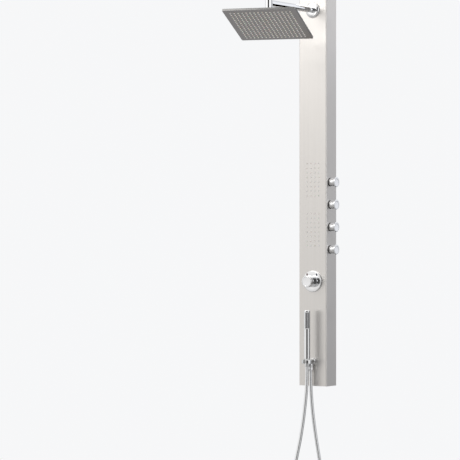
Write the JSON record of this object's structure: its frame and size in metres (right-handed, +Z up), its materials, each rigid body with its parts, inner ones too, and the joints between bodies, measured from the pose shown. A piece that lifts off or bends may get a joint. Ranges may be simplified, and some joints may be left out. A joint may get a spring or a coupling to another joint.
{
  "type": "shower panel column",
  "caption": "Tall narrow wall-hung shower column with a square rain head on an arm, body jets, side stop valves, mixer knob and hand shower on a hose.",
  "frame": {"origin": "centre of the four wall screw holes, in the plane of the wall", "axes": "+Z up along the column, +X to the right as seen from the front, +Y into the wall, so the front looks along -Y"},
  "size_m": [0.3703, 0.598, 2.2782],
  "materials": {
    "brushed_steel": "brushed along the height, satin",
    "galvanised_steel": "matt zinc",
    "chrome": "bright polished chrome plate",
    "polished_steel": "finely ground stainless steel",
    "brass": "raw machined brass",
    "copper": "drawn copper tube",
    "grey_silicone": "soft translucent grey silicone",
    "dark_silicone": "soft dark silicone",
    "black_rubber": "matt black rubber",
    "white_plastic": "moulded plastic",
    "enamel": "inlaid enamel, one dark red and one dark blue",
    "silver_hose": "silver foil wound under clear plastic"
  },
  "bodies": {
    "root": {"casing": "brushed_steel", "top_cap": "brushed_steel", "bottom_cap": "brushed_steel", "wall_brackets": "galvanised_steel", "hangers": "galvanised_steel", "arm_tube": "chrome", "arm_flange": "chrome", "arm_gasket": "black_rubber", "arm_stem": "chrome", "lock_nuts": "brass", "jet_box_upper": "white_plastic", "jet_mat_upper": "grey_silicone", "jet_box_lower": "white_plastic", "jet_mat_lower": "grey_silicone", "manifold": "brass", "valve_cartridges": "brass", "valve_nuts": "brass", "knob_seals": "black_rubber", "mixer_body": "brass", "mixing_cartridge": "white_plastic", "cartridge_nut": "brass", "mixer_escutcheon": "chrome", "temperature_marks": "enamel", "feed_pipe": "copper", "riser_pipe": "copper", "jet_pipe_upper": "copper", "jet_pipe_lower": "copper", "hand_shower_pipe": "copper", "hot_supply_pipe": "copper", "cold_supply_pipe": "copper", "supply_unions": "brass", "check_valves": "white_plastic", "hose_outlet": "chrome", "cradle_liner": "white_plastic", "hose_nut": "chrome", "hose": "silver_hose"},
    "ball_joint": {"ball_stud": "chrome"},
    "rain_head": {"head_boss": "brass", "ball_seat": "white_plastic", "swivel_nut": "chrome", "head_tray": "polished_steel", "head_face": "polished_steel", "head_nozzle_mat": "grey_silicone", "head_screws": "polished_steel"},
    "mixer_control": {"mixer_spindle": "brass", "mixer_knob": "chrome", "mixer_knob_cap": "chrome", "mixer_knob_screw": "polished_steel"},
    "hand_shower": {"handset_body": "chrome", "spray_plate": "chrome", "spray_nozzles": "dark_silicone", "cone_nut": "chrome"},
    "valve_1": {"valve_spindle_1": "brass", "valve_knob_1": "chrome"},
    "valve_2": {"valve_spindle_2": "brass", "valve_knob_2": "chrome"},
    "valve_3": {"valve_spindle_3": "brass", "valve_knob_3": "chrome"},
    "valve_4": {"valve_spindle_4": "brass", "valve_knob_4": "chrome"}
  },
  "joints": [
    {"name": "head_yaw", "type": "hinge", "parent": "root", "child": "ball_joint", "pos_m": [0, -0.406, 0.686], "axis": [0, 0, 1], "continuous": true},
    {"name": "head_tilt", "type": "hinge", "parent": "ball_joint", "child": "rain_head", "pos_m": [0, -0.406, 0.686], "axis": [0.9537, 0.3007, 0], "range_deg": [-2, 38]},
    {"name": "mixer_turn", "type": "hinge", "parent": "root", "child": "mixer_control", "pos_m": [0, -0.075, -0.387], "axis": [0, 1, 0], "range_deg": [-40, 40]},
    {"name": "hand_shower_lift", "type": "slide", "parent": "root", "child": "hand_shower", "axis": [0, 0, 1], "range_m": [0, 0.085]},
    {"name": "rain_head_valve", "type": "hinge", "parent": "root", "child": "valve_1", "pos_m": [0.0675, -0.046, 0.0235], "axis": [1, 0, 0], "range_deg": [0, 90]},
    {"name": "upper_jets_valve", "type": "hinge", "parent": "root", "child": "valve_2", "pos_m": [0.0675, -0.046, -0.0692], "axis": [1, 0, 0], "range_deg": [0, 90]},
    {"name": "lower_jets_valve", "type": "hinge", "parent": "root", "child": "valve_3", "pos_m": [0.0675, -0.046, -0.1619], "axis": [1, 0, 0], "range_deg": [0, 90]},
    {"name": "hand_shower_valve", "type": "hinge", "parent": "root", "child": "valve_4", "pos_m": [0.0675, -0.046, -0.2546], "axis": [1, 0, 0], "range_deg": [0, 90]}
  ]
}
